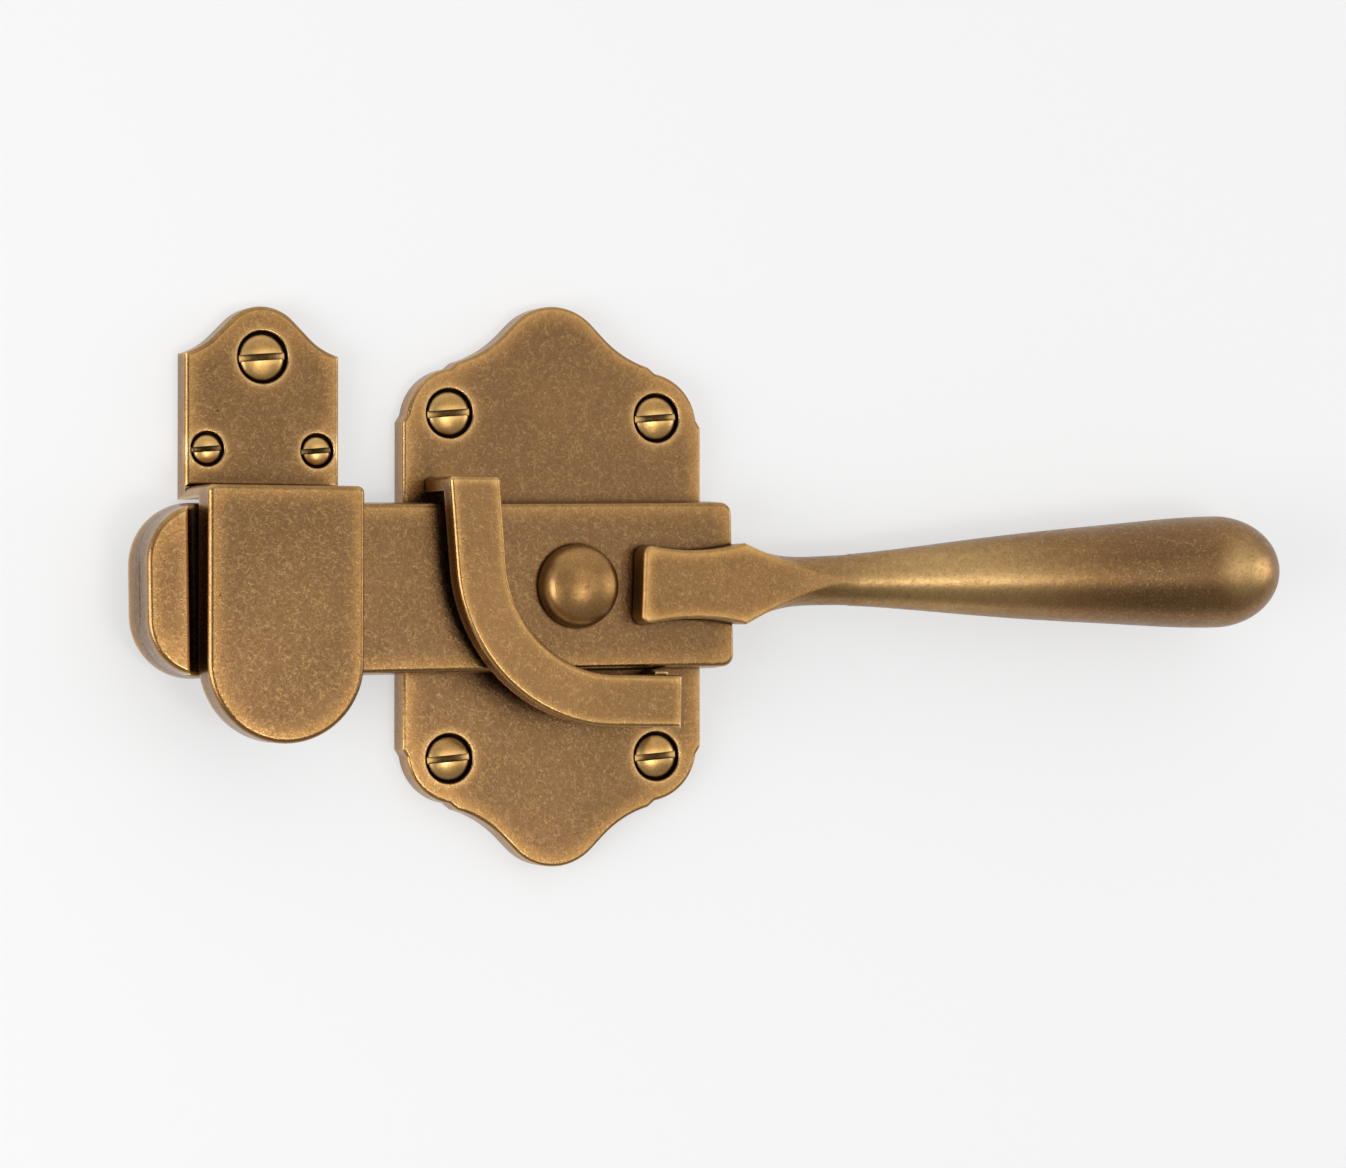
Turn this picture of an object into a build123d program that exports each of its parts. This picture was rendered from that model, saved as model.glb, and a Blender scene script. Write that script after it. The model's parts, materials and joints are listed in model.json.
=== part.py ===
# Icebox latch: a lever that pivots on a screwed plate and closes behind a keeper's tongue.
# Millimetres. Z is up and X runs to the right along the handle. The door face is the plane
# Y = 0 and the latch stands out of it towards -Y. The origin is at the door face, in the
# middle of the four plate screws. "Depth" below means the distance out of the door face.
from build123d import *
import math
import os

# Base plate: outline and thickness
plate_half_width = 23.6
plate_half_height = 41.3
plate_thick = 3.7
plate_edge = 0.5
crown_radius = 8.6
crown_slope = 1.8
lobe_rise = 6.6
lobe_side_reach = 6.5
lobe_shoulder = 4.3
lobe_drop = 0.25
lobe_inset = 0.15
lobe_top_step = 0.95
lobe_top_run = 1.15
lobe_side_step = 1.1

# Plate screws, and the lobes that surround them
screw_side_inset = 7.2
screw_half_z = 25.2
screw_head_radius = 3.35
screw_head_crown = 1.2
screw_head_rim = 0.6
screw_head_rise = 0.3
screw_shank_radius = 1.75
screw_length = 19.0
screw_slot_width = 1.0
screw_slot_depth = 0.9
screw_slot_turn = 5.0
screw_point = 5.0
screw_tip_radius = 0.25
thread_start = 0.4
thread_relief = 0.45
keeper_small_relief = 0.35
head_gap = 0.3
shank_gap = 0.35
bore_edge = 0.2

# Pivot, a little to the right of the plate's middle
pivot_x = 1.3
pivot_radius = 3.5
pivot_fit = 0.06
boss_radius = 7.2
boss_height = 0.4
side_clearance = 0.1
rivet_head_radius = 6.1
rivet_cap_radius = 4.7
rivet_wall = 0.7
rivet_shoulder = 3.4
rivet_head_height = 4.7
rivet_tail_radius = 5.0
countersink_angle = 82.0

# Bolt bar, with its end pad: distances along it are from the pivot
lever_tilt = 0.95
bar_left = -66.1
bar_right = 25.5
bar_half_height = 12.5
bar_thick = 5.0
bar_draft = 4.0
bar_edge = 0.7
bar_end_corner = 9.0
bar_right_corner = 2.0
pad_inset = 0.4
pad_width = 6.1
pad_height = 3.9
pad_corner = 8.0
pad_cove = 1.5

# Handle: root on the bar, waisted neck and round grip, along the bar from the pivot
root_thick = 4.2
root_left = 8.7
root_slant = 0.6
root_half_width = 6.0
root_waist_x = 17.8
root_waist_half = 5.05
root_corner = 1.2
root_edge = 0.5
flare_x = 25.3
neck_x = 36.0
neck_radius = 3.65
neck_depth = 9.4
neck_bow_x = 30.0
neck_end_x = 44.0
neck_end_radius = 3.85
flat_fade = 1.5
flat_least_half = 0.3
back_corner = 0.72
neck_back_inset = 0.02
axis_offset = 0.24
axis_rise = 0.0094
axis_lean = 0.0373
grip_start_radius = 3.89
grip_start_slope = 0.06
grip_quarter_radius = 5.3
grip_middle_radius = 6.75
grip_three_quarter_radius = 7.88
grip_widest_x = 106.0
grip_radius = 8.68
grip_end_length = 10.7
tenon_radius = 2.0
tenon_spread = 0.9
tenon_places = (13.2, 20.6)
tenon_fit = 0.05

# Guide strap
strap_width = 7.65
strap_inner_radius = 17.25
strap_bend_x = 5.55
strap_bend_z = 4.35
strap_lean = 4.6
strap_thick = 3.2
strap_front = 14.8
strap_top = 15.6
strap_corner = 0.6
strap_drop = 1.0
strap_end_x = 15.9
strap_edge = 0.6
leg_thick = 2.0
leg_stop_gap = 0.3
strap_tenon_width = 4.6
strap_tenon_thick = 1.6
strap_tenon_fit = 0.05

# Keeper: crowned plate, arm and tongue
tongue_clearance = 1.9
keeper_width = 23.0
keeper_thick = 3.8
keeper_shoulder = 33.0
keeper_crest = 39.9
keeper_crown_radius = 6.6
keeper_crown_slope = 2.4
keeper_edge = 0.65
arm_bottom = 12.15
arm_thick = 1.75
tongue_gap = 1.35
tongue_thick = 5.0
tongue_bottom = -22.5
tongue_edge = 0.75
tongue_corner = 1.0
keeper_top_screw_drop = 7.3
keeper_top_head_radius = 3.5
keeper_small_head_radius = 2.2
keeper_small_half_x = 8.2
keeper_small_z = 19.3
keeper_small_shank_radius = 1.2
keeper_small_length = 13.0
keeper_small_slot = 0.8
keeper_small_crown = 0.95
keeper_small_rim = 0.5
keeper_small_rise = 0.2

# Places that follow from the sizes above
screw_half_x = plate_half_width - screw_side_inset
keeper_top_screw_z = keeper_crest - keeper_top_screw_drop
pad_left = bar_left + pad_inset
pad_right = pad_left + pad_width
keeper_left = pivot_x + pad_right + tongue_clearance
bar_back = plate_thick + boss_height + side_clearance
bar_front = bar_back + bar_thick
root_front = bar_front + root_thick
strap_back = strap_front - strap_thick
tongue_back = bar_front + tongue_gap
tongue_front = tongue_back + tongue_thick

# Views onto the door: local x is right, local y is up and local z is out of the door
door = Plane(origin=(0, 0, 0), x_dir=(1, 0, 0), z_dir=(0, -1, 0))
pivot_view = Plane(origin=(pivot_x, 0, 0), x_dir=(1, 0, 0), z_dir=(0, -1, 0))
keeper_x = keeper_left + keeper_width / 2
keeper_view = Plane(origin=(keeper_x, 0, 0), x_dir=(1, 0, 0), z_dir=(0, -1, 0))
tilt = math.radians(lever_tilt)
lever_right = (math.cos(tilt), 0, math.sin(tilt))
lever_view = Plane(origin=(pivot_x, 0, 0), x_dir=lever_right, z_dir=(0, -1, 0))
lever_rear = Plane(origin=(pivot_x, -bar_back, 0), x_dir=lever_right, z_dir=(0, 1, 0))
pivot_rear = Plane(origin=(pivot_x, 0, 0), x_dir=(1, 0, 0), z_dir=(0, 1, 0))
sink_half_angle = math.radians(countersink_angle / 2)


def dome_radius(half_width, height):
    # The radius of the sphere whose cap has this half width and height
    return (half_width**2 + height**2) / (2 * height)


def crown_line(crest, radius, slope, end):
    # Half a crown, from its crest down a 45 degree flank and out along a hollow to its end
    diagonal = radius * math.sin(math.radians(45))
    flank_top = (diagonal, crest - radius + diagonal)
    flank_low = (flank_top[0] + slope, flank_top[1] - slope)
    RadiusArc((0, crest), flank_top, radius)
    Line(flank_top, flank_low)
    TangentArc(flank_low, end, tangent=(1, -1))


def toward(start, angle, distance):
    # The point at a distance from the start, along a direction given in degrees
    turn = math.radians(angle)
    return (start[0] + distance * math.cos(turn), start[1] + distance * math.sin(turn))


# Guide strap: the corner points of its front view, inner and outer side. It leans as it comes
# down, turns through the bend and runs out to its end.
strap_centre = (strap_bend_x, strap_bend_z)
strap_outer_radius = strap_inner_radius + strap_width
bend_start = 180 + strap_lean
bend_end = 270 - strap_drop
bend_middle = (bend_start + bend_end) / 2
inner_start = toward(strap_centre, bend_start, strap_inner_radius)
outer_start = toward(strap_centre, bend_start, strap_outer_radius)
inner_bend = toward(strap_centre, bend_end, strap_inner_radius)
outer_bend = toward(strap_centre, bend_end, strap_outer_radius)


def up_the_strap(start, height):
    # The point at a height on the leaning side of the strap that ends at the start
    return (start[0] - (height - start[1]) * math.tan(math.radians(strap_lean)), height)


inner_top = up_the_strap(inner_start, strap_top)
outer_top = up_the_strap(outer_start, strap_top)
inner_foot = up_the_strap(inner_start, strap_top - leg_thick)
outer_foot = up_the_strap(outer_start, strap_top - leg_thick)
arm_run = (strap_end_x - inner_bend[0]) / math.cos(math.radians(strap_drop))
inner_tip = toward(inner_bend, -strap_drop, arm_run)
outer_tip = toward(outer_bend, -strap_drop, arm_run)

# The legs stand on the base plate: one across the top end and one across the end of the arm,
# which rises to stop the bar when it lies level
foot_inner = toward(inner_tip, -strap_drop, -leg_thick)
foot_outer = toward(outer_tip, -strap_drop, -leg_thick)
stop_z = (foot_inner[0] - pivot_x) * math.tan(tilt) - bar_half_height - leg_stop_gap
stop_rise = (stop_z - foot_inner[1]) / math.cos(math.radians(strap_drop))
stop_left = toward(foot_inner, 90 - strap_drop, stop_rise)
stop_right = toward(inner_tip, 90 - strap_drop, stop_rise)
top_leg = ((inner_top[0] + outer_foot[0]) / 2, strap_top - leg_thick / 2)
arm_leg = toward(toward(outer_tip, -strap_drop, -leg_thick / 2), 90 - strap_drop, strap_width / 2)


def leg_tenons(gap):
    # The two flat tenons of the strap, wider by a gap all round when they are slots
    width = strap_tenon_width + 2 * gap
    thick = strap_tenon_thick + 2 * gap
    with Locations(top_leg):
        Rectangle(width, thick)
    with Locations(arm_leg):
        Rectangle(thick, width, rotation=-strap_drop)


with BuildPart() as guide_strap:
    with BuildSketch(door.offset(strap_back)) as strap_outline:
        with BuildLine():
            Line(inner_tip, inner_bend)
            ThreePointArc(
                inner_bend,
                toward(strap_centre, bend_middle, strap_inner_radius),
                inner_start,
            )
            Polyline(inner_start, inner_top, outer_top, outer_start)
            ThreePointArc(
                outer_start,
                toward(strap_centre, bend_middle, strap_outer_radius),
                outer_bend,
            )
            Polyline(outer_bend, outer_tip, inner_tip)
        make_face()
        fillet(strap_outline.vertices().group_by(Axis.Y)[-1], radius=strap_corner)
    extrude(amount=strap_thick)
    fillet(guide_strap.faces().sort_by(Axis.Y)[0].outer_wire().edges(), radius=strap_edge)
    with BuildSketch(door.offset(plate_thick)) as leg_outline:
        with BuildLine():
            Polyline(inner_foot, inner_top, outer_top, outer_foot, close=True)
        make_face()
        fillet(leg_outline.vertices().group_by(Axis.Y)[-1], radius=strap_corner)
        with BuildLine():
            Polyline(outer_tip, inner_tip, foot_inner, foot_outer, close=True)
        make_face()
    extrude(amount=strap_back - plate_thick)
    with BuildSketch(door.offset(plate_thick)):
        with BuildLine():
            Polyline(outer_tip, stop_right, stop_left, foot_outer, close=True)
        make_face()
    extrude(amount=bar_front - plate_thick)
    with BuildSketch(door):
        leg_tenons(0)
    extrude(amount=plate_thick)
guide_strap.part.label = "guide_strap"


# Base plate, drawn as one quarter and mirrored. A slanted step leads onto each end of a lobe.
lobe_start = (screw_half_x + lobe_side_reach, screw_half_z - lobe_drop)
lobe_middle = (screw_half_x + lobe_shoulder, screw_half_z + lobe_shoulder)
lobe_end = (screw_half_x - lobe_inset, screw_half_z + lobe_rise)
side_top = (plate_half_width, lobe_start[1] - lobe_side_step)
hollow_end = (lobe_end[0] - lobe_top_run, lobe_end[1] + lobe_top_step)

with BuildPart() as base_plate:
    with BuildSketch(door):
        with BuildLine():
            Line((plate_half_width, 0), side_top)
            Line(side_top, lobe_start)
            ThreePointArc(lobe_start, lobe_middle, lobe_end)
            Line(lobe_end, hollow_end)
            crown_line(plate_half_height, crown_radius, crown_slope, hollow_end)
            mirror(about=Plane.YZ)
            mirror(about=Plane.XZ)
        make_face()
    extrude(amount=plate_thick)
    fillet(base_plate.faces().sort_by(Axis.Y)[0].outer_wire().edges(), radius=plate_edge)
    with Locations(door.offset(plate_thick)):
        with GridLocations(2 * screw_half_x, 2 * screw_half_z, 2, 2):
            CounterBoreHole(
                radius=screw_shank_radius + shank_gap,
                counter_bore_radius=screw_head_radius + head_gap,
                counter_bore_depth=screw_head_crown + screw_head_rim - screw_head_rise,
            )
    fillet(base_plate.faces().sort_by(Axis.Y)[0].inner_wires().edges(), radius=bore_edge)
    with BuildSketch(pivot_view.offset(plate_thick)):
        Circle(boss_radius)
    extrude(amount=boss_height)
    with Locations(pivot_view.offset(plate_thick + boss_height)):
        Hole(radius=pivot_radius + pivot_fit)
    with Locations(pivot_rear):
        CounterSinkHole(
            radius=pivot_radius + pivot_fit,
            counter_sink_radius=rivet_tail_radius + pivot_fit,
            counter_sink_angle=countersink_angle,
        )
    with BuildSketch(door):
        leg_tenons(strap_tenon_fit)
    extrude(amount=plate_thick, mode=Mode.SUBTRACT)
base_plate.part.label = "base_plate"

lever_up = (-math.sin(tilt), 0, math.cos(tilt))


def on_lever(x, up, depth):
    # A point of the lever as it lies at rest, from its distance along it from the pivot
    return (
        pivot_x + x * math.cos(tilt) - up * math.sin(tilt),
        -depth,
        x * math.sin(tilt) + up * math.cos(tilt),
    )


# Bolt bar: drafted flat bar, round-cornered at its left end, where the pad stands on it
bar_middle = (bar_left + bar_right) / 2
bar_length = bar_right - bar_left
pad_middle = (pad_left + pad_right) / 2
pad_sink = bar_edge + pad_inset

# The foot of the pad's inner wall, seen along the wall: local x runs onto the bar, local y outwards
pad_foot_half = bar_half_height - pad_inset - bar_edge
pad_foot = Plane(
    origin=on_lever(pad_right, pad_foot_half, bar_front),
    x_dir=lever_right,
    z_dir=(math.sin(tilt), 0, -math.cos(tilt)),
)

with BuildPart() as bolt_bar:
    with BuildSketch(lever_view.offset(bar_back)) as bar_outline:
        with Locations((bar_middle, 0)):
            Rectangle(bar_length, 2 * bar_half_height)
        fillet(bar_outline.vertices().group_by(Axis.X)[0], radius=bar_end_corner)
        fillet(bar_outline.vertices().group_by(Axis.X)[-1], radius=bar_right_corner)
    extrude(amount=bar_thick, taper=bar_draft)
    fillet(bolt_bar.faces().sort_by(Axis.Y)[0].outer_wire().edges(), radius=bar_edge)
    with BuildSketch(lever_view.offset(bar_front - pad_sink)) as pad_outline:
        with Locations((pad_left + pad_corner, 0)):
            Rectangle(2 * pad_corner, 2 * (bar_half_height - pad_inset))
        fillet(pad_outline.vertices().group_by(Axis.X)[0], radius=pad_corner)
        with Locations((pad_middle, 0)):
            Rectangle(pad_width, 2 * bar_half_height, mode=Mode.INTERSECT)
    extrude(amount=pad_sink + pad_height)
    fillet(bolt_bar.faces().sort_by(Axis.Y)[0].outer_wire().edges(), radius=bar_edge)
    with BuildSketch(pad_foot):
        with BuildLine():
            Polyline((0, pad_cove), (0, 0), (pad_cove, 0))
            RadiusArc((pad_cove, 0), (0, pad_cove), pad_cove)
        make_face()
    extrude(amount=2 * pad_foot_half)
    with Locations(lever_view.offset(bar_front)):
        Hole(radius=pivot_radius + pivot_fit)
    with Locations(lever_rear):
        with Locations(*[(x, 0) for x in tenon_places]):
            CounterSinkHole(
                radius=tenon_radius + tenon_fit,
                counter_sink_radius=tenon_radius + tenon_spread + tenon_fit,
                counter_sink_angle=countersink_angle,
            )
bolt_bar.part.label = "bolt_bar"


# Handle: the centre line of the neck bends up and outwards into the straight axis of the grip
def share_between(x, start, end):
    # How far x has gone from the start to the end, held between 0 and 1
    return min(1, max(0, (x - start) / (end - start)))


def centre_up(x):
    left = 1 - share_between(x, flare_x, neck_end_x)
    return axis_rise * (x - flare_x) + axis_offset * (1 - left**2)


def centre_depth(x):
    bow = neck_end_x - neck_bow_x
    bent = bow * share_between(x, neck_bow_x, neck_end_x) ** 2 / 2
    return neck_depth + axis_lean * (bent + max(0, x - neck_end_x))


def centre_point(x):
    return on_lever(x, centre_up(x), centre_depth(x))


def station(x):
    # A plane across the handle: local x is up the door and local y is out of it. It turns from
    # square to the bar at the flare to square to the grip's axis at the end of the neck.
    along = Vector(*lever_right)
    turned = (Vector(*centre_point(grip_widest_x)) - Vector(*centre_point(neck_end_x))).normalized()
    normal = along + (turned - along) * share_between(x, flare_x, neck_end_x)
    return Plane(origin=centre_point(x), x_dir=lever_up, z_dir=normal)


def neck_radius_at(x):
    # The flare of the root runs down to the neck, which swells a little towards the grip
    flare = (root_half_width - neck_radius) * (1 - share_between(x, flare_x, neck_x)) ** 2
    swell = (neck_end_radius - neck_radius) * share_between(x, neck_x, neck_end_x) ** 2
    return neck_radius + flare + swell


def neck_section(x):
    # The root's flat front narrows to a point while its sides and back turn round
    half = neck_radius_at(x)
    round_share = math.sin(math.radians(90) * share_between(x, flare_x, neck_x)) ** 2
    flat_left = (1 - share_between(x, flare_x, neck_end_x)) ** flat_fade
    flat_half = max(flat_least_half, root_half_width * flat_left)
    crown = math.sqrt(min(half, neck_end_radius) ** 2 - flat_least_half**2)
    front = max(root_front - centre_depth(x), crown)
    root_back = centre_depth(x) - bar_front
    back = root_back + (half - neck_back_inset - root_back) * round_share
    corner_x = half * (1 + (back_corner - 1) * round_share)
    corner_y = -back * (1 + (math.sqrt(1 - back_corner**2) - 1) * round_share)
    side_y = (front + corner_y) / 2 * (1 - round_share)
    with BuildSketch(station(x)) as section:
        with BuildLine():
            Line((-flat_half, front), (flat_half, front))
            ThreePointArc((flat_half, front), (half, side_y), (corner_x, corner_y))
            ThreePointArc((corner_x, corner_y), (0, -back), (-corner_x, corner_y))
            ThreePointArc((-corner_x, corner_y), (-half, side_y), (-flat_half, front))
        make_face()
    return section.sketch


def root_section():
    # The square end of the root, where the loft begins
    with BuildSketch(station(flare_x)) as section:
        with Locations((0, (bar_front + root_front) / 2 - centre_depth(flare_x))):
            Rectangle(2 * root_half_width, root_thick)
    return section.sketch


# Where the neck's sections stand, as shares of the way from the flare to the neck's end
neck_shares = (0.1, 0.22, 0.38, 0.56, 0.77, 1.0)

# The grip's profile, from its axis: local x runs along the axis and local y away from it
grip_start = Vector(*centre_point(neck_end_x))
grip_direction = Vector(*centre_point(grip_widest_x)) - grip_start
grip_view = Plane(origin=grip_start, x_dir=grip_direction, z_dir=grip_direction.cross(Vector(*lever_up)))
grip_length = grip_direction.length
grip_tip = grip_length + grip_end_length

with BuildPart() as handle:
    with BuildSketch(lever_view.offset(bar_front)) as root_outline:
        with BuildLine():
            Line((flare_x, -root_half_width), (flare_x, root_half_width))
            ThreePointArc(
                (flare_x, root_half_width),
                (root_waist_x, root_waist_half),
                (root_left + root_slant, root_half_width),
            )
            Line((root_left + root_slant, root_half_width), (root_left, -root_half_width))
            ThreePointArc(
                (root_left, -root_half_width),
                (root_waist_x, -root_waist_half),
                (flare_x, -root_half_width),
            )
        make_face()
        fillet(root_outline.vertices().sort_by(Axis.X)[:2], radius=root_corner)
    extrude(amount=root_thick)
    root_rim = handle.faces().sort_by(Axis.Y)[0].outer_wire().edges()
    fillet(root_rim.sort_by(Axis.X)[:-1], radius=root_edge)
    neck_sections = [neck_section(flare_x + share * (neck_end_x - flare_x)) for share in neck_shares]
    loft([root_section(), *neck_sections])
    with BuildSketch(grip_view):
        with BuildLine():
            Spline(
                (0, grip_start_radius),
                (grip_length / 4, grip_quarter_radius),
                (grip_length / 2, grip_middle_radius),
                (grip_length * 3 / 4, grip_three_quarter_radius),
                (grip_length, grip_radius),
                tangents=((1, grip_start_slope), (1, 0)),
            )
            EllipticalCenterArc((grip_length, 0), grip_end_length, grip_radius, arc_size=90)
            Polyline((grip_tip, 0), (0, 0), (0, grip_start_radius))
        make_face()
    revolve(axis=Axis(grip_start, grip_direction))
    for x in tenon_places:
        with Locations(lever_view.offset(bar_front)):
            with Locations((x, 0)):
                Cylinder(tenon_radius, bar_thick, align=(Align.CENTER, Align.CENTER, Align.MAX))
        with Locations(lever_view.offset(bar_back)):
            with Locations((x, 0)):
                Cone(
                    tenon_radius + tenon_spread,
                    tenon_radius,
                    tenon_spread / math.tan(sink_half_angle),
                    align=(Align.CENTER, Align.CENTER, Align.MIN),
                )
handle.part.label = "handle"


# Pivot rivet: domed head on the bar, shank through bar and plate, tail spread in its countersink
head_base = bar_front + side_clearance
tail_depth = (rivet_tail_radius - pivot_radius) / math.tan(sink_half_angle)

with BuildPart() as pivot_rivet:
    with BuildSketch(Plane((pivot_x, 0, 0))):
        with BuildLine():
            Polyline(
                (0, 0),
                (rivet_tail_radius, 0),
                (pivot_radius, -tail_depth),
                (pivot_radius, -head_base),
                (rivet_head_radius, -head_base),
                (rivet_head_radius, -head_base - rivet_wall),
            )
            TangentArc(
                (rivet_head_radius, -head_base - rivet_wall),
                (rivet_cap_radius, -head_base - rivet_shoulder),
                tangent=(0, -1),
            )
            RadiusArc(
                (rivet_cap_radius, -head_base - rivet_shoulder),
                (0, -head_base - rivet_head_height),
                dome_radius(rivet_cap_radius, rivet_head_height - rivet_shoulder),
            )
            Line((0, -head_base - rivet_head_height), (0, 0))
        make_face()
    revolve(axis=Axis((pivot_x, 0, 0), (0, 1, 0)))
pivot_rivet.part.label = "pivot_rivet"


def wood_screw(face, head_radius, crown, rim, rise, shank_radius, relief, length, slot_width):
    # A domed slotted screw standing on its point, its crown a little proud of the face that it is
    # sunk in. Below the door face the shank is the thread's root, slightly thinner.
    top = face + rise
    seat = top - crown - rim
    thread_radius = shank_radius - relief
    with BuildPart() as screw:
        with BuildSketch(Plane.XZ):
            with BuildLine():
                Polyline(
                    (0, top),
                    (0, -length),
                    (screw_tip_radius, -length),
                    (thread_radius, screw_point - length),
                    (thread_radius, -thread_start),
                    (shank_radius, -thread_start),
                    (shank_radius, seat),
                    (head_radius, seat),
                    (head_radius, seat + rim),
                )
                EllipticalCenterArc((0, seat + rim), head_radius, crown, arc_size=90)
            make_face()
        revolve(axis=Axis.Z)
        with BuildSketch(Plane.XY.offset(top)):
            Rectangle(3 * head_radius, slot_width, rotation=screw_slot_turn)
        extrude(amount=-screw_slot_depth, mode=Mode.SUBTRACT)
    return screw.part


plate_screw = wood_screw(
    plate_thick,
    screw_head_radius,
    screw_head_crown,
    screw_head_rim,
    screw_head_rise,
    screw_shank_radius,
    thread_relief,
    screw_length,
    screw_slot_width,
)
keeper_large_screw = wood_screw(
    keeper_thick,
    keeper_top_head_radius,
    screw_head_crown,
    screw_head_rim,
    screw_head_rise,
    screw_shank_radius,
    thread_relief,
    screw_length,
    screw_slot_width,
)
keeper_small_screw = wood_screw(
    keeper_thick,
    keeper_small_head_radius,
    keeper_small_crown,
    keeper_small_rim,
    keeper_small_rise,
    keeper_small_shank_radius,
    keeper_small_relief,
    keeper_small_length,
    keeper_small_slot,
)

with BuildPart() as plate_screws:
    with Locations(door):
        with GridLocations(2 * screw_half_x, 2 * screw_half_z, 2, 2):
            add(plate_screw)
plate_screws.part.label = "plate_screws"

with BuildPart() as keeper_top_screw:
    with Locations(keeper_view):
        with Locations((0, keeper_top_screw_z)):
            add(keeper_large_screw)
keeper_top_screw.part.label = "keeper_top_screw"

with BuildPart() as keeper_small_screws:
    with Locations(keeper_view):
        with Locations((-keeper_small_half_x, keeper_small_z), (keeper_small_half_x, keeper_small_z)):
            add(keeper_small_screw)
keeper_small_screws.part.label = "keeper_small_screws"


# Keeper: the crowned plate, the arm that stands out of its foot and the tongue that hangs from it
keeper_half = keeper_width / 2
arm_top = arm_bottom + arm_thick

with BuildPart() as keeper:
    with BuildSketch(keeper_view) as keeper_outline:
        with BuildLine():
            Line((0, arm_top), (keeper_half, arm_top))
            Line((keeper_half, arm_top), (keeper_half, keeper_shoulder))
            crown_line(keeper_crest, keeper_crown_radius, keeper_crown_slope, (keeper_half, keeper_shoulder))
            mirror(about=Plane.YZ)
        make_face()
    extrude(amount=keeper_thick)
    fillet(keeper.faces().sort_by(Axis.Y)[0].outer_wire().edges(), radius=keeper_edge)
    with Locations(keeper_view.offset(keeper_thick)):
        with Locations((0, keeper_top_screw_z)):
            CounterBoreHole(
                radius=screw_shank_radius + shank_gap,
                counter_bore_radius=keeper_top_head_radius + head_gap,
                counter_bore_depth=screw_head_crown + screw_head_rim - screw_head_rise,
            )
        with Locations((-keeper_small_half_x, keeper_small_z), (keeper_small_half_x, keeper_small_z)):
            CounterBoreHole(
                radius=keeper_small_shank_radius + shank_gap,
                counter_bore_radius=keeper_small_head_radius + head_gap,
                counter_bore_depth=keeper_small_crown + keeper_small_rim - keeper_small_rise,
            )
    fillet(keeper.faces().sort_by(Axis.Y)[0].inner_wires().edges(), radius=bore_edge)
    with BuildSketch(keeper_view):
        with Locations((0, arm_bottom)):
            Rectangle(keeper_width, arm_thick, align=(Align.CENTER, Align.MIN))
    extrude(amount=keeper_thick)
    with BuildSketch(keeper_view) as arm_outline:
        with Locations((0, arm_bottom)):
            Rectangle(keeper_width, arm_thick, align=(Align.CENTER, Align.MIN))
        fillet(arm_outline.vertices().group_by(Axis.Y)[-1], radius=tongue_corner)
    extrude(amount=tongue_front)
    with BuildSketch(keeper_view.offset(tongue_back)) as tongue_outline:
        with BuildLine():
            Polyline(
                (keeper_half, tongue_bottom + keeper_half),
                (keeper_half, arm_top),
                (-keeper_half, arm_top),
                (-keeper_half, tongue_bottom + keeper_half),
            )
            RadiusArc(
                (-keeper_half, tongue_bottom + keeper_half),
                (keeper_half, tongue_bottom + keeper_half),
                -keeper_half,
            )
        make_face()
        fillet(tongue_outline.vertices().group_by(Axis.Y)[-1], radius=tongue_corner)
    extrude(amount=tongue_thick)
    fillet(keeper.faces().sort_by(Axis.Y)[0].outer_wire().edges(), radius=tongue_edge)
keeper.part.label = "keeper"

os.makedirs("parts", exist_ok=True)
export_step(base_plate.part, "parts/base_plate.step")
export_step(guide_strap.part, "parts/guide_strap.step")
export_step(pivot_rivet.part, "parts/pivot_rivet.step")
export_step(plate_screws.part, "parts/plate_screws.step")
export_step(bolt_bar.part, "parts/bolt_bar.step")
export_step(handle.part, "parts/handle.step")
export_step(keeper.part, "parts/keeper.step")
export_step(keeper_top_screw.part, "parts/keeper_top_screw.step")
export_step(keeper_small_screws.part, "parts/keeper_small_screws.step")
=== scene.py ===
# The icebox latch in aged brass, on a pale wall in soft studio light. Lengths are in metres.
import json
import math

import bmesh
import bpy
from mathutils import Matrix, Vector

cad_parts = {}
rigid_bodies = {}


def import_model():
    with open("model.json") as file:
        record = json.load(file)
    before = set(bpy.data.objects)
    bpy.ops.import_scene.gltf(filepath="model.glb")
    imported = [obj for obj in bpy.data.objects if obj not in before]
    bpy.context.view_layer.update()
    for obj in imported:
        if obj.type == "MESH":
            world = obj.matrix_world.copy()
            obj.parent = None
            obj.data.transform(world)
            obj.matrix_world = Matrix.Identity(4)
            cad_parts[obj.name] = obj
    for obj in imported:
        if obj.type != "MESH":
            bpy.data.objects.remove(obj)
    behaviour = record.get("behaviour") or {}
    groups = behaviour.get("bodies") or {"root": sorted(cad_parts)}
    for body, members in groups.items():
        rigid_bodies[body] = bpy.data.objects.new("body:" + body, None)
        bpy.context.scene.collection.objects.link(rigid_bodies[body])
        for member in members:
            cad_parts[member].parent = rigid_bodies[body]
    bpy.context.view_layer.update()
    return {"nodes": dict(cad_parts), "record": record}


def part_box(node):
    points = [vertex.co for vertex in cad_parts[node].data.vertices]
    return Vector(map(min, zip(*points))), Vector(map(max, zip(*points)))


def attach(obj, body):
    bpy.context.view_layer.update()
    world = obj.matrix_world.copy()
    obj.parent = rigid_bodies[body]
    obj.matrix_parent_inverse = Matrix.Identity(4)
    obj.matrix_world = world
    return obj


for leftover in list(bpy.data.objects):
    bpy.data.objects.remove(leftover)

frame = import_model()
nodes = frame["nodes"]
mounts = {mount["name"]: mount for mount in frame["record"]["mounts"]}

MM = 0.001

# Camera, from a fit to the photograph
CAMERA_PLACE = (-0.22128, -0.56288, -0.00853)
CAMERA_FORWARD = (0.39486, 0.91862, 0.01478)
CAMERA_LENS = 109.02
SENSOR_WIDTH = 36.0
NEAREST_SEEN = 0.01

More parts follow.
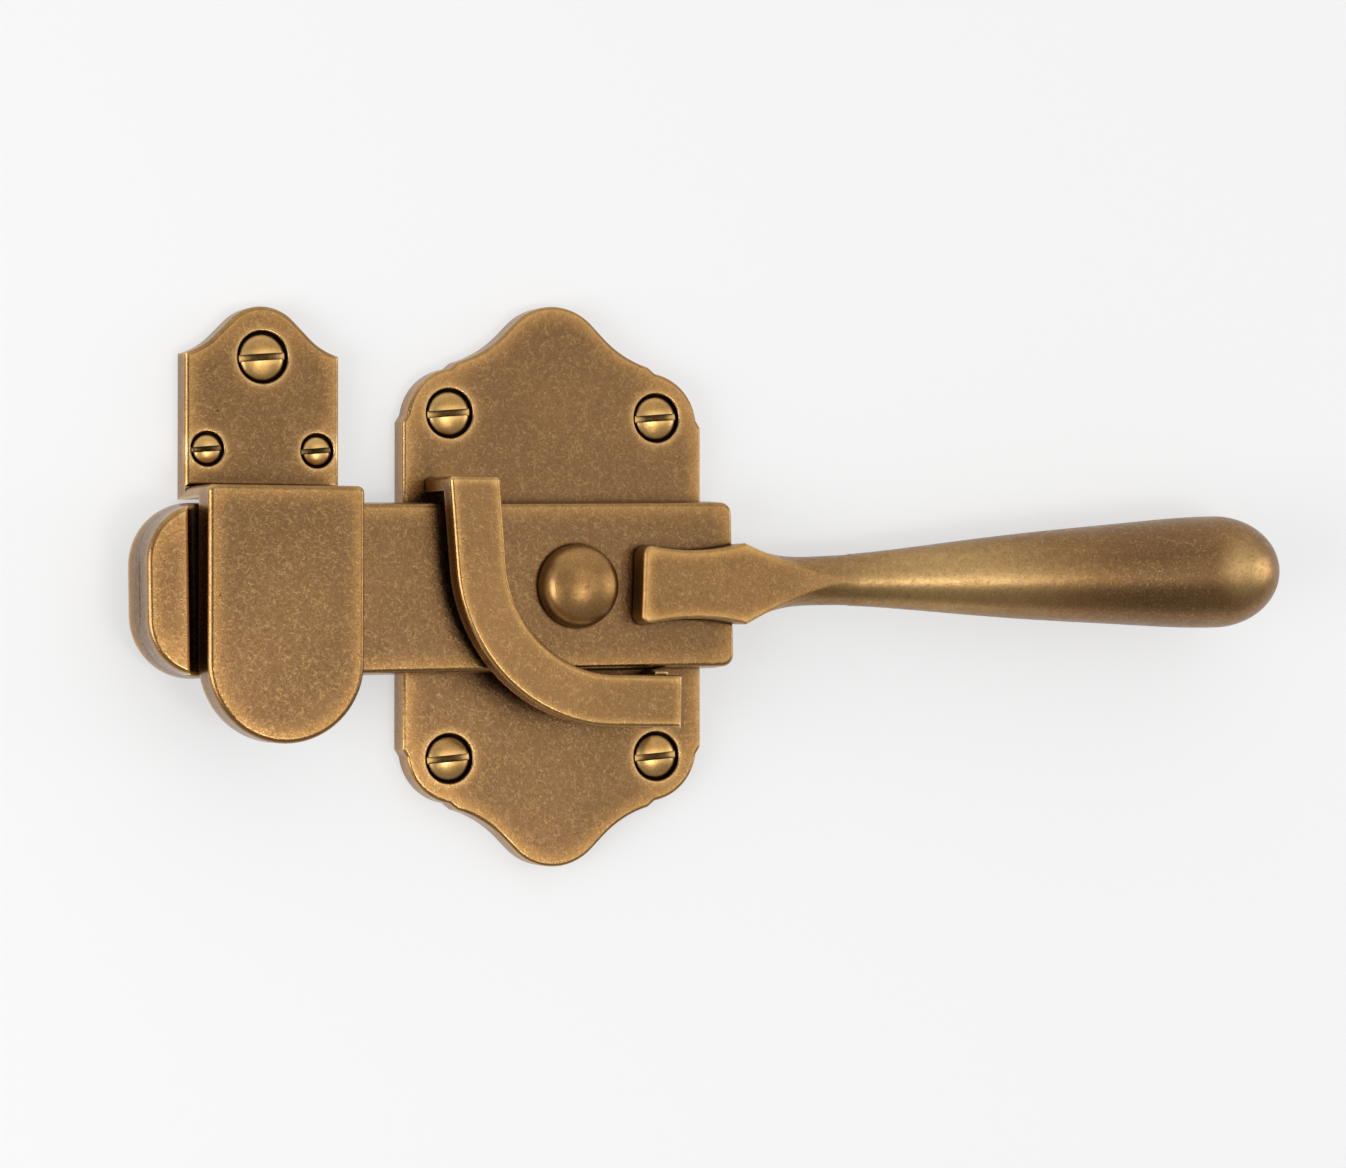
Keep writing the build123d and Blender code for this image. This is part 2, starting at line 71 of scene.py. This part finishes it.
# Wood screw threads: the radius of the root, the pitch and the height of the ridge
LARGE_THREAD = {"root": 1.3 * MM, "pitch": 1.41 * MM, "ridge": 0.42 * MM}
SMALL_THREAD = {"root": 0.85 * MM, "pitch": 0.98 * MM, "ridge": 0.32 * MM}
THREAD_TOP = 0.4 * MM
POINT_LENGTH = 5.0 * MM
TIP_RADIUS = 0.25 * MM
STEPS_IN_TURN = 28

# The ridge's section: half the width of its foot and of its crest, as shares of the pitch, how far
# out the foot lies, as a share of the root, and the share of the ridge's height left at the tip
HALF_FOOT = 0.3
HALF_CREST = 0.03
FOOT_RADIUS = 0.93
RIDGE_AT_TIP = 0.35

# Colours of the brass, as they reflect: bare and rubbed, which also paints highlights, the darker grip,
# partly a painted shade, and two dark colours for dirt and painted shade
GOLD = (0.8, 0.525, 0.22)
GRIP_PATINA_AND_SHADE = (0.14, 0.074, 0.037)
BROWN_DIRT_AND_SHADE = (0.075, 0.042, 0.022)
BLACK_DIRT_AND_SHADE = (0.016, 0.009, 0.005)

# Shades of a face, as shares of its own colour
CLOUD_DARK = 0.88
CLOUD_LIGHT = 1.05
GRAIN_LIGHT = 1.6
CURL_DARK = 0.5
BACK_PAINTED_SHADE = 0.5
BORDER_PATINA_AND_SHEEN = (2.0, 1.95, 1.5)

# Textures, in features for each metre
CLOUDS = 60
MOTTLE = 900
GRAIN = 3600
BRIGHT_CURLS = 1500
DARK_CURLS = 1700
PITS = 330

# How far wear and the painted highlight line reach in from an edge, and painted shade and dirt out from a
# corner
RUBBED_REACH = 1.6 * MM
HIGHLIGHT_LINE_REACH = 0.8 * MM
SHADE_REACH = 3.6 * MM

# Ramps: where each starts and ends, then its values there if they are not 0 and 1
CLOUD_RAMP = (0.3, 0.7)
GRAIN_RAMP = (0.35, 0.7, 0.0, 0.22)
CURL_RAMP = (0.055, 0.01)
BRIGHT_PATCHES = (0.3, 0.6)
DARK_PATCHES = (0.7, 0.4)
PIT_RAMP = (0.055, 0.025)
PITTED_CELLS = (0.9, 0.92)
BORDER_RAMP = (0.02, 0.44)
RUBBED_RAMP = (0.08, 0.6, 0.0, 0.5)
HIGHLIGHT_LINE_RAMP = (0.16, 0.46)
BROKEN_WEAR = (0.25, 0.6, 0.75, 1.0)
SHADE_RAMP = (0.2, 0.75, 0.0, 0.72)
SEAM_RAMP = (0.14, 0.46, 0.0, 0.95)
BACK_RAMP = (0.3, 0.9)
ZONE_RAMP = (1.0, 0.1)
ZONE_PATCHES = (0.2, 0.7)
ROUGH_RAMP = (0.25, 0.8)

# Shares in the colour: of the curls and of the painted shade on faces turned to the wall. The mottle thins a
# zone to a least share of its own, and breaks up the edges of the painted shade and dirt by the speckle.
BRIGHT_CURL_SHARE = 0.2
DARK_CURL_SHARE = 0.36
BACK_PAINTED_SHADE_SHARE = 0.8
ZONE_LEAST = 0.8
SPECKLE = 0.2
NOISE_MIDDLE = 0.5

# Relief: its full height, and the height or depth of each texture as a share of it
RELIEF = 0.022 * MM
MOTTLE_HEIGHT = 0.5
GRAIN_HEIGHT = 0.18
BRIGHT_CURL_HEIGHT = 0.12
DARK_CURL_DEPTH = 0.2
PIT_DEPTH = 2.0

# Roughness: how much the mottle raises and lowers it, what rubbing takes off and dirt adds
MOTTLE_ROUGHER = 0.05
MOTTLE_SMOOTHER = 0.04
WORN_SMOOTHER = 0.06
DIRT_ROUGHER = 0.3

HOLLOW_SAMPLES = 8
SOFTEN_SAMPLES = 6

# Zones painted brighter or darker on the handle and the rivet: hand wear, with painted highlights on the
# handle's neck, its tip and the rivet's left side, and a painted shade with patina along the grip: the
# middle, the reach along each axis, the colour and its share
HANDLE_WEAR_HIGHLIGHT_AND_SHADE_ZONES = (
    ((0.059, -0.0155, 0.0015), (0.03, 0.009, 0.009), GOLD, 0.55),
    ((0.095, -0.019, 0.002), (0.018, 0.02, 0.014), GRIP_PATINA_AND_SHADE, 0.8),
    ((0.1085, -0.0185, 0.003), (0.0065, 0.009, 0.0065), GOLD, 0.8),
)
# The rivet's zone is a painted highlight on the left side of its head
RIVET_HIGHLIGHT_ZONES = (((-0.0046, -0.0105, 0.0), (0.0024, 0.004, 0.006), GOLD, 0.8),)

# The wall: half its side, its place, its paint, and how much it glows to the eye, so that its
# shadows stay faint
WALL_HALF = 0.45
WALL_PLACE = (0.02, 0.06 * MM, 0)
WALL_PAINT = 0.47
WALL_GLOW = 0.49

# The room: a ramp of light that rises overhead, and a second one that adds to it behind the wall
OVERHEAD_RAMP = (0.15, 0.8, 0.4, 1.15)
BEHIND_RAMP = (0.0, 0.1, 0.0, 0.45)

# Lamps: the name, the place, the width and height, and the radiance. They face the latch's middle.
LAMPS = (
    ("key", (0.14, -0.88, -0.19), (0.2, 0.2), 9.8),
    ("right", (0.85, -0.28, 0.05), (0.35, 0.5), 2.2),
    ("left", (-0.62, -0.3, -0.08), (0.35, 0.6), 4.2),
    ("front", (0.35, -0.83, 0.13), (0.75, 0.5), 0.75),
)
LATCH_MIDDLE = Vector((0.02, 0, 0))


def tinted(colour, factors):
    """A colour with its three channels scaled, and full alpha."""
    return (*(min(1.0, channel * factor) for channel, factor in zip(colour, factors)), 1)


def shade_of(colour, factor):
    return tinted(colour, (factor, factor, factor))


class Graph:
    """The nodes of one material or world. Most calls add a node and give back its output."""

    def __init__(self, owner):
        owner.use_nodes = True
        self.tree = owner.node_tree
        self.tree.nodes.clear()

    def add(self, kind, **settings):
        node = self.tree.nodes.new(kind)
        for key, value in settings.items():
            setattr(node, key, value)
        return node

    def feed(self, socket, value):
        if isinstance(value, bpy.types.NodeSocket):
            self.tree.links.new(value, socket)
        else:
            socket.default_value = value

    def show(self, kind, surface):
        self.feed(self.add(kind).inputs["Surface"], surface)

    def maths(self, operation, first, second=0.0):
        node = self.add("ShaderNodeMath", operation=operation)
        self.feed(node.inputs[0], first)
        self.feed(node.inputs[1], second)
        return node.outputs[0]

    def axes(self, vector):
        node = self.add("ShaderNodeSeparateXYZ")
        self.feed(node.inputs[0], vector)
        return node.outputs

    def mapped(self, vector, location, scale=(1, 1, 1)):
        node = self.add("ShaderNodeMapping")
        self.feed(node.inputs["Vector"], vector)
        node.inputs["Location"].default_value = location
        node.inputs["Scale"].default_value = scale
        return node.outputs[0]

    def noise(self, vector, scale, detail, roughness, distortion=0.0):
        node = self.add("ShaderNodeTexNoise")
        self.feed(node.inputs["Vector"], vector)
        node.inputs["Scale"].default_value = scale
        node.inputs["Detail"].default_value = detail
        node.inputs["Roughness"].default_value = roughness
        node.inputs["Distortion"].default_value = distortion
        return node.outputs["Fac"]

    def ramp(self, value, start, end, low=0.0, high=1.0, kind="SMOOTHSTEP"):
        node = self.add("ShaderNodeMapRange", interpolation_type=kind)
        self.feed(node.inputs["Value"], value)
        node.inputs["From Min"].default_value = start
        node.inputs["From Max"].default_value = end
        node.inputs["To Min"].default_value = low
        node.inputs["To Max"].default_value = high
        return node.outputs["Result"]

    def mix(self, share, first, second):
        """Two colours mixed. The node's sockets 6 and 7 take them, and its output 2 is a colour."""
        node = self.add("ShaderNodeMix", data_type="RGBA")
        self.feed(node.inputs[0], share)
        self.feed(node.inputs[6], first)
        self.feed(node.inputs[7], second)
        return node.outputs[2]

    def near(self, vector, centre, reach):
        """How near a point is to a centre, from 0 to 1, with its own reach along each axis."""
        location = [-at / length for at, length in zip(centre, reach)]
        away = self.add("ShaderNodeVectorMath", operation="LENGTH")
        self.feed(away.inputs[0], self.mapped(vector, location, [1 / length for length in reach]))
        return self.ramp(away.outputs["Value"], *ZONE_RAMP)

    def hollow(self, reach, inside=False):
        """How far a point is shut in, from 0 to 1: by other surfaces, or from inside by an edge."""
        node = self.add("ShaderNodeAmbientOcclusion", samples=HOLLOW_SAMPLES, inside=inside)
        node.only_local = inside
        node.inputs["Distance"].default_value = reach
        return self.maths("SUBTRACT", 1.0, node.outputs["AO"])

    def curls(self, place, scale, patches):
        """Fine curls: the level lines of a twisted noise, kept only in patches."""
        field = self.noise(place, scale, detail=1.0, roughness=0.4, distortion=0.7)
        lines = self.ramp(self.maths("ABSOLUTE", self.maths("SUBTRACT", field, NOISE_MIDDLE)), *CURL_RAMP)
        return self.maths("MULTIPLY", lines, patches)

    def pits(self, place):
        """Casting pits: a small dot in each of a few cells."""
        cells = self.add("ShaderNodeTexVoronoi", feature="F1")
        self.feed(cells.inputs["Vector"], place)
        cells.inputs["Scale"].default_value = PITS
        channels = self.add("ShaderNodeSeparateColor")
        self.feed(channels.inputs[0], cells.outputs["Color"])
        pitted = self.ramp(channels.outputs[0], *PITTED_CELLS)
        return self.maths("MULTIPLY", self.ramp(cells.outputs["Distance"], *PIT_RAMP), pitted)


def aged_brass(
    name,
    face,
    roughness=0.28,
    border_reach=3.9 * MM,
    seam_reach=0.7 * MM,
    shift=0.0,
    zones=(),
    soften=0.0,
):
    """Brass with a brown patina that lightens towards its edges, with a painted sheen there, is rubbed
    bright along them with a painted highlight line, and is darkened where surfaces come near and in
    its corners by painted shade and dirt. Faces turned to the wall get a darker painted shade, and
    zones add painted highlights, painted shade and wear. The shift moves its textures, and soften
    rounds its edges to the light."""
    material = bpy.data.materials.new(name)
    g = Graph(material)
    here = g.add("ShaderNodeTexCoord").outputs["Object"]
    place = g.mapped(here, (shift, shift, shift))
    clouds = g.noise(place, CLOUDS, detail=2.0, roughness=0.5)
    mottle = g.noise(place, MOTTLE, detail=3.0, roughness=0.6, distortion=0.8)
    grain = g.noise(place, GRAIN, detail=2.0, roughness=0.6, distortion=1.5)
    bright_curls = g.curls(place, BRIGHT_CURLS, g.ramp(mottle, *BRIGHT_PATCHES))
    dark_curls = g.curls(place, DARK_CURLS, g.ramp(mottle, *DARK_PATCHES))
    pits = g.pits(place)

    # The edges: a wide lighter border of patina with a painted sheen, then rubbed metal, then a narrow
    # painted highlight line
    border_patina_and_sheen = g.ramp(g.hollow(border_reach, inside=True), *BORDER_RAMP)
    rubbed = g.ramp(g.hollow(RUBBED_REACH, inside=True), *RUBBED_RAMP)
    highlight_line = g.ramp(g.hollow(HIGHLIGHT_LINE_REACH, inside=True), *HIGHLIGHT_LINE_RAMP)
    broken = g.ramp(mottle, *BROKEN_WEAR)
    wear_and_highlight = g.maths("MULTIPLY", g.maths("MAXIMUM", rubbed, highlight_line), broken)

    # Painted shade and dirt: brown where surfaces come near, and black in the seams, with none on the backs
    speckle = g.maths("MULTIPLY", g.maths("SUBTRACT", mottle, NOISE_MIDDLE), SPECKLE)
    shade = g.ramp(g.maths("ADD", g.hollow(SHADE_REACH), speckle), *SHADE_RAMP)
    seam = g.ramp(g.maths("ADD", g.hollow(seam_reach), speckle), *SEAM_RAMP)
    normal = g.add("ShaderNodeTexCoord").outputs["Normal"]
    back = g.ramp(g.axes(normal)["Y"], *BACK_RAMP)
    front = g.maths("SUBTRACT", 1.0, back)
    shade = g.maths("MULTIPLY", shade, front)
    seam = g.maths("MULTIPLY", seam, front)

    colour = g.mix(g.ramp(clouds, *CLOUD_RAMP), shade_of(face, CLOUD_DARK), shade_of(face, CLOUD_LIGHT))
    # A lighter patina with a painted sheen towards the edges
    colour = g.mix(border_patina_and_sheen, colour, tinted(face, BORDER_PATINA_AND_SHEEN))
    # Zones of painted highlight, painted shade and hand wear
    for centre, reach, tint, share in zones:
        patches = g.ramp(mottle, *ZONE_PATCHES, ZONE_LEAST * share, share)
        colour = g.mix(g.maths("MULTIPLY", g.near(here, centre, reach), patches), colour, (*tint, 1))
    colour = g.mix(g.ramp(grain, *GRAIN_RAMP), colour, shade_of(face, GRAIN_LIGHT))
    colour = g.mix(g.maths("MULTIPLY", bright_curls, BRIGHT_CURL_SHARE), colour, (*GOLD, 1))
    colour = g.mix(g.maths("MULTIPLY", dark_curls, DARK_CURL_SHARE), colour, shade_of(face, CURL_DARK))
    # Rubbed metal and the painted highlight line, in gold
    colour = g.mix(wear_and_highlight, colour, (*GOLD, 1))
    # Faces turned towards the wall get a darker painted shade
    colour = g.mix(g.maths("MULTIPLY", back, BACK_PAINTED_SHADE_SHARE), colour, shade_of(face, BACK_PAINTED_SHADE))
    # The brown painted shade and dirt, then the black painted shade and dirt in the seams, with the casting
    # pits
    colour = g.mix(shade, colour, (*BROWN_DIRT_AND_SHADE, 1))
    colour = g.mix(g.maths("MAXIMUM", seam, pits), colour, (*BLACK_DIRT_AND_SHADE, 1))

    height = g.maths("MULTIPLY", mottle, MOTTLE_HEIGHT)
    height = g.maths("ADD", height, g.maths("MULTIPLY", grain, GRAIN_HEIGHT))
    height = g.maths("ADD", height, g.maths("MULTIPLY", bright_curls, BRIGHT_CURL_HEIGHT))
    height = g.maths("SUBTRACT", height, g.maths("MULTIPLY", dark_curls, DARK_CURL_DEPTH))
    height = g.maths("SUBTRACT", height, g.maths("MULTIPLY", pits, PIT_DEPTH))
    bump = g.add("ShaderNodeBump")
    bump.inputs["Strength"].default_value = 1.0
    bump.inputs["Distance"].default_value = RELIEF
    g.feed(bump.inputs["Height"], height)
    if soften:
        rounded = g.add("ShaderNodeBevel", samples=SOFTEN_SAMPLES)
        rounded.inputs["Radius"].default_value = soften
        g.feed(bump.inputs["Normal"], rounded.outputs[0])

    rough = g.ramp(mottle, *ROUGH_RAMP, roughness + MOTTLE_ROUGHER, roughness - MOTTLE_SMOOTHER)
    rough = g.maths("SUBTRACT", rough, g.maths("MULTIPLY", wear_and_highlight, WORN_SMOOTHER))
    rough = g.maths("ADD", rough, g.maths("MULTIPLY", seam, DIRT_ROUGHER))

    metal = g.add("ShaderNodeBsdfPrincipled")
    g.feed(metal.inputs["Base Color"], colour)
    metal.inputs["Metallic"].default_value = 1.0
    g.feed(metal.inputs["Roughness"], rough)
    g.feed(metal.inputs["Normal"], bump.outputs[0])
    g.show("ShaderNodeOutputMaterial", metal.outputs[0])
    return material


def dress(obj, material):
    obj.data.materials.clear()
    obj.data.materials.append(material)


def screw_places(mount_name):
    """Where the screws of a mount stand across the door face."""
    mount = mounts[mount_name]
    x, _, z = mount["pos_m"]
    half_x = mount["dims"].get("spacing_x_mm", 0) * MM / 2
    half_z = mount["dims"].get("spacing_y_mm", 0) * MM / 2
    return sorted({(x + side * half_x, z + rise * half_z) for side in (-1, 1) for rise in (-1, 1)})


def thread_ridge(name, node, places, size):
    """The helical ridges of a node's wood screws, whose shanks run straight back into the door."""
    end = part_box(node)[1][1]
    mesh = bmesh.new()
    steps = int(((end - THREAD_TOP) / size["pitch"] - HALF_FOOT) * STEPS_IN_TURN)
    for x, z in places:
        previous = None
        for step in range(steps + 1):
            along = THREAD_TOP + step * size["pitch"] / STEPS_IN_TURN
            angle = 2 * math.pi * step / STEPS_IN_TURN
            left = max(0.0, (end - along) / POINT_LENGTH)
            root = TIP_RADIUS + (size["root"] - TIP_RADIUS) * min(1.0, left)
            starting = min(1.0, step / STEPS_IN_TURN)
            crest = root + size["ridge"] * starting * min(1.0, RIDGE_AT_TIP + left)
            foot = FOOT_RADIUS * root
            section = ((foot, -HALF_FOOT), (crest, -HALF_CREST), (crest, HALF_CREST), (foot, HALF_FOOT))
            ring = []
            for radius, offset in section:
                back = along + offset * size["pitch"]
                corner = (x + radius * math.cos(angle), back, z + radius * math.sin(angle))
                ring.append(mesh.verts.new(corner))
            if previous:
                for low in range(len(section) - 1):
                    mesh.faces.new((previous[low], ring[low], ring[low + 1], previous[low + 1]))
            previous = ring
    bmesh.ops.recalc_face_normals(mesh, faces=mesh.faces)
    data = bpy.data.meshes.new(name)
    mesh.to_mesh(data)
    mesh.free()
    for face in data.polygons:
        face.use_smooth = True
    obj = bpy.data.objects.new(name, data)
    bpy.context.scene.collection.objects.link(obj)
    dress(obj, looks["screw_brass"])
    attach(obj, "mounting")


def wall():
    """A pale wall behind the latch, seen only from its front and as bright as white paper."""
    mesh = bpy.data.meshes.new("wall")
    sides = ((-1, -1), (1, -1), (1, 1), (-1, 1))
    mesh.from_pydata([(x * WALL_HALF, 0, z * WALL_HALF) for x, z in sides], [], [(0, 1, 2, 3)])
    obj = bpy.data.objects.new("wall", mesh)
    obj.location = WALL_PLACE
    bpy.context.scene.collection.objects.link(obj)
    paint = bpy.data.materials.new("wall_paint")
    g = Graph(paint)
    plaster = g.add("ShaderNodeBsdfDiffuse")
    plaster.inputs["Color"].default_value = (WALL_PAINT, WALL_PAINT, WALL_PAINT, 1)
    rays = g.add("ShaderNodeLightPath").outputs
    looked_at = g.maths("MAXIMUM", rays["Is Camera Ray"], rays["Is Glossy Ray"])
    looked_at = g.maths("MAXIMUM", looked_at, rays["Is Transmission Ray"])
    glow = g.add("ShaderNodeEmission")
    g.feed(glow.inputs["Strength"], g.maths("MULTIPLY", looked_at, WALL_GLOW))
    lit = g.add("ShaderNodeAddShader")
    g.feed(lit.inputs[0], plaster.outputs[0])
    g.feed(lit.inputs[1], glow.outputs[0])
    clear = g.add("ShaderNodeBsdfTransparent")
    shown = g.add("ShaderNodeMixShader")
    g.feed(shown.inputs[0], g.add("ShaderNodeNewGeometry").outputs["Backfacing"])
    g.feed(shown.inputs[1], lit.outputs[0])
    g.feed(shown.inputs[2], clear.outputs[0])
    g.show("ShaderNodeOutputMaterial", shown.outputs[0])
    dress(obj, paint)


def studio():
    """An even pale room that is brighter overhead and behind the wall."""
    world = bpy.data.worlds.new("studio")
    bpy.context.scene.world = world
    g = Graph(world)
    direction = g.axes(g.add("ShaderNodeTexCoord").outputs["Generated"])
    overhead = g.ramp(direction["Z"], *OVERHEAD_RAMP)
    behind = g.ramp(direction["Y"], *BEHIND_RAMP, kind="LINEAR")
    background = g.add("ShaderNodeBackground")
    g.feed(background.inputs["Strength"], g.maths("ADD", overhead, behind))
    g.show("ShaderNodeOutputWorld", background.outputs[0])


def soft_light(name, place, size, radiance):
    """A rectangular lamp that faces the middle of the latch."""
    lamp = bpy.data.lights.new(name, "AREA")
    lamp.shape = "RECTANGLE"
    lamp.size, lamp.size_y = size
    lamp.energy = radiance * math.pi * size[0] * size[1]
    obj = bpy.data.objects.new(name, lamp)
    obj.location = place
    obj.rotation_euler = (LATCH_MIDDLE - Vector(place)).to_track_quat("-Z", "Z").to_euler()
    bpy.context.scene.collection.objects.link(obj)


# One material for each slot of the record
looks = {
    "plate_brass": aged_brass(
        "plate_brass", (0.2, 0.107, 0.046), roughness=0.26, border_reach=3.6 * MM, shift=0.1
    ),
    "strap_brass": aged_brass("strap_brass", (0.245, 0.132, 0.051), border_reach=1.8 * MM, shift=0.2),
    "rivet_brass": aged_brass(
        "rivet_brass",
        (0.34, 0.182, 0.066),
        roughness=0.36,
        border_reach=1.5 * MM,
        shift=0.3,
        zones=RIVET_HIGHLIGHT_ZONES,
    ),
    "screw_brass": aged_brass(
        "screw_brass",
        (0.52, 0.292, 0.096),
        roughness=0.36,
        border_reach=1.0 * MM,
        seam_reach=1.1 * MM,
        shift=0.4,
    ),
    "lever_brass": aged_brass("lever_brass", (0.182, 0.097, 0.042), roughness=0.26, shift=0.5),
    "handle_brass": aged_brass(
        "handle_brass",
        (0.25, 0.134, 0.052),
        roughness=0.36,
        border_reach=2.4 * MM,
        shift=0.6,
        zones=HANDLE_WEAR_HIGHLIGHT_AND_SHADE_ZONES,
        soften=0.7 * MM,
    ),
    "keeper_brass": aged_brass(
        "keeper_brass", (0.178, 0.095, 0.04), roughness=0.25, border_reach=3.6 * MM, shift=0.7
    ),
}
for subpart in frame["record"]["subparts"]:
    dress(nodes[subpart["node"]], looks[subpart["material_slot"]])

# Screw threads
thread_ridge("plate_screw_threads", "plate_screws", screw_places("plate_screws"), LARGE_THREAD)
thread_ridge("keeper_top_thread", "keeper_top_screw", screw_places("keeper_top_screw"), LARGE_THREAD)
thread_ridge("keeper_small_threads", "keeper_small_screws", screw_places("keeper_small_screws"), SMALL_THREAD)

wall()
studio()
for lamp_row in LAMPS:
    soft_light(*lamp_row)

lens = bpy.data.cameras.new("camera")
lens.lens = CAMERA_LENS
lens.sensor_width = SENSOR_WIDTH
lens.clip_start = NEAREST_SEEN
camera = bpy.data.objects.new("camera", lens)
camera.location = CAMERA_PLACE
camera.rotation_mode = "QUATERNION"
camera.rotation_quaternion = Vector(CAMERA_FORWARD).to_track_quat("-Z", "Y")
bpy.context.scene.collection.objects.link(camera)
bpy.context.scene.camera = camera
bpy.context.scene.view_settings.view_transform = "Standard"
